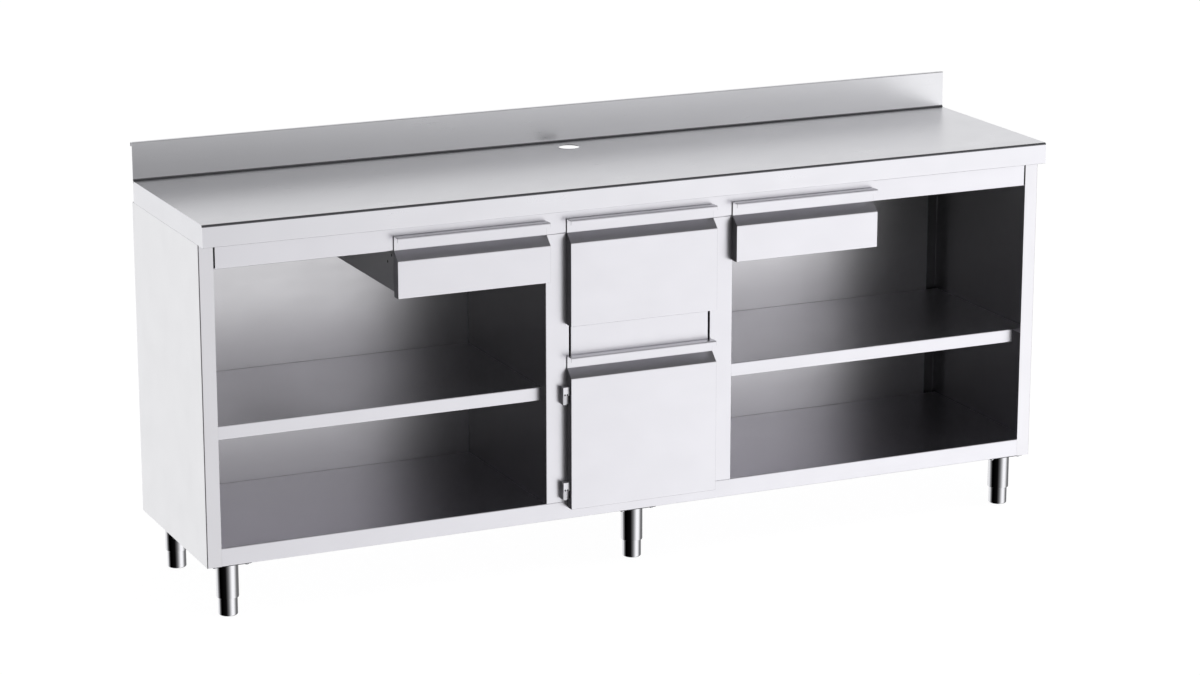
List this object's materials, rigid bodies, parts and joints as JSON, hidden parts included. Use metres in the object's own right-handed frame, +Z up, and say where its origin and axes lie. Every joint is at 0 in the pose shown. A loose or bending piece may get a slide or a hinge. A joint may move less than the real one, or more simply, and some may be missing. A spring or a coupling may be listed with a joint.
{
  "type": "service station counter",
  "caption": "Stainless steel service counter with upstand, open shelf bays, hung drawers, a deep drawer over a hinged door, and adjustable feet.",
  "frame": {"origin": "on the floor, under the middle of the bounding box", "axes": "+X along the worktop to the right as seen from the front, +Y to the back, +Z up"},
  "size_m": [2.5, 0.6, 1.185],
  "materials": {
    "worktop_steel": "fine satin grain along the length",
    "brushed_sheet": "fine satin grain",
    "polished_tube": "polished stainless tube",
    "plated_steel": "zinc plated",
    "hinge_metal": "satin cast steel",
    "dark_plastic": "moulded"
  },
  "bodies": {
    "carcass": {"back_panel": "brushed_sheet", "base_floor": "brushed_sheet", "deep_drawer_carrier_left": "brushed_sheet", "deep_drawer_carrier_right": "brushed_sheet", "deep_drawer_fixed_slide_left": "plated_steel", "deep_drawer_fixed_slide_right": "plated_steel", "divider_left": "brushed_sheet", "divider_right": "brushed_sheet", "door_catch": "dark_plastic", "drawer_hanger_left": "brushed_sheet", "drawer_hanger_right": "brushed_sheet", "filler_panel": "brushed_sheet", "hinge_lower_fixed_leaf": "hinge_metal", "hinge_lower_pin": "hinge_metal", "hinge_upper_fixed_leaf": "hinge_metal", "hinge_upper_pin": "hinge_metal", "left_drawer_fixed_slide_inner": "plated_steel", "left_drawer_fixed_slide_outer": "plated_steel", "leg_front_centre": "polished_tube", "leg_front_left": "polished_tube", "leg_front_right": "polished_tube", "leg_rear_centre": "polished_tube", "leg_rear_left": "polished_tube", "leg_rear_right": "polished_tube", "right_drawer_fixed_slide_inner": "plated_steel", "right_drawer_fixed_slide_outer": "plated_steel", "shelf_left": "brushed_sheet", "shelf_right": "brushed_sheet", "side_panel_left": "brushed_sheet", "side_panel_right": "brushed_sheet", "top_rail": "brushed_sheet", "worktop": "worktop_steel", "worktop_front_stiffener": "brushed_sheet", "worktop_rear_stiffener": "brushed_sheet"},
    "deep_drawer": {"deep_drawer_box": "brushed_sheet", "deep_drawer_front": "brushed_sheet", "deep_drawer_moving_slide_left": "plated_steel", "deep_drawer_moving_slide_right": "plated_steel"},
    "door": {"door_inner_pan": "brushed_sheet", "door_skin": "brushed_sheet", "door_strike": "plated_steel", "hinge_lower_moving_leaf": "hinge_metal", "hinge_upper_moving_leaf": "hinge_metal"},
    "foot_front_centre": {"foot_front_centre": "polished_tube"},
    "foot_front_left": {"foot_front_left": "polished_tube"},
    "foot_front_right": {"foot_front_right": "polished_tube"},
    "foot_rear_centre": {"foot_rear_centre": "polished_tube"},
    "foot_rear_left": {"foot_rear_left": "polished_tube"},
    "foot_rear_right": {"foot_rear_right": "polished_tube"},
    "left_drawer": {"left_drawer_box": "brushed_sheet", "left_drawer_front": "brushed_sheet", "left_drawer_moving_slide_inner": "plated_steel", "left_drawer_moving_slide_outer": "plated_steel"},
    "right_drawer": {"right_drawer_box": "brushed_sheet", "right_drawer_front": "brushed_sheet", "right_drawer_moving_slide_inner": "plated_steel", "right_drawer_moving_slide_outer": "plated_steel"}
  },
  "joints": [
    {"name": "left_drawer_slide", "type": "slide", "parent": "carcass", "child": "left_drawer", "axis": [0, -1, 0], "range_m": [0, 0.34]},
    {"name": "right_drawer_slide", "type": "slide", "parent": "carcass", "child": "right_drawer", "axis": [0, -1, 0], "range_m": [0, 0.34]},
    {"name": "deep_drawer_slide", "type": "slide", "parent": "carcass", "child": "deep_drawer", "axis": [0, -1, 0], "range_m": [0, 0.34]},
    {"name": "door_hinge", "type": "hinge", "parent": "carcass", "child": "door", "pos_m": [-0.2285, -0.271, 0.4], "axis": [0, 0, -1], "range_deg": [0, 95]},
    {"name": "foot_front_centre_screw", "type": "slide", "parent": "carcass", "child": "foot_front_centre", "axis": [0, 0, -1], "range_m": [0, 0.03]},
    {"name": "foot_front_left_screw", "type": "slide", "parent": "carcass", "child": "foot_front_left", "axis": [0, 0, -1], "range_m": [0, 0.03]},
    {"name": "foot_front_right_screw", "type": "slide", "parent": "carcass", "child": "foot_front_right", "axis": [0, 0, -1], "range_m": [0, 0.03]},
    {"name": "foot_rear_centre_screw", "type": "slide", "parent": "carcass", "child": "foot_rear_centre", "axis": [0, 0, -1], "range_m": [0, 0.03]},
    {"name": "foot_rear_left_screw", "type": "slide", "parent": "carcass", "child": "foot_rear_left", "axis": [0, 0, -1], "range_m": [0, 0.03]},
    {"name": "foot_rear_right_screw", "type": "slide", "parent": "carcass", "child": "foot_rear_right", "axis": [0, 0, -1], "range_m": [0, 0.03]}
  ]
}
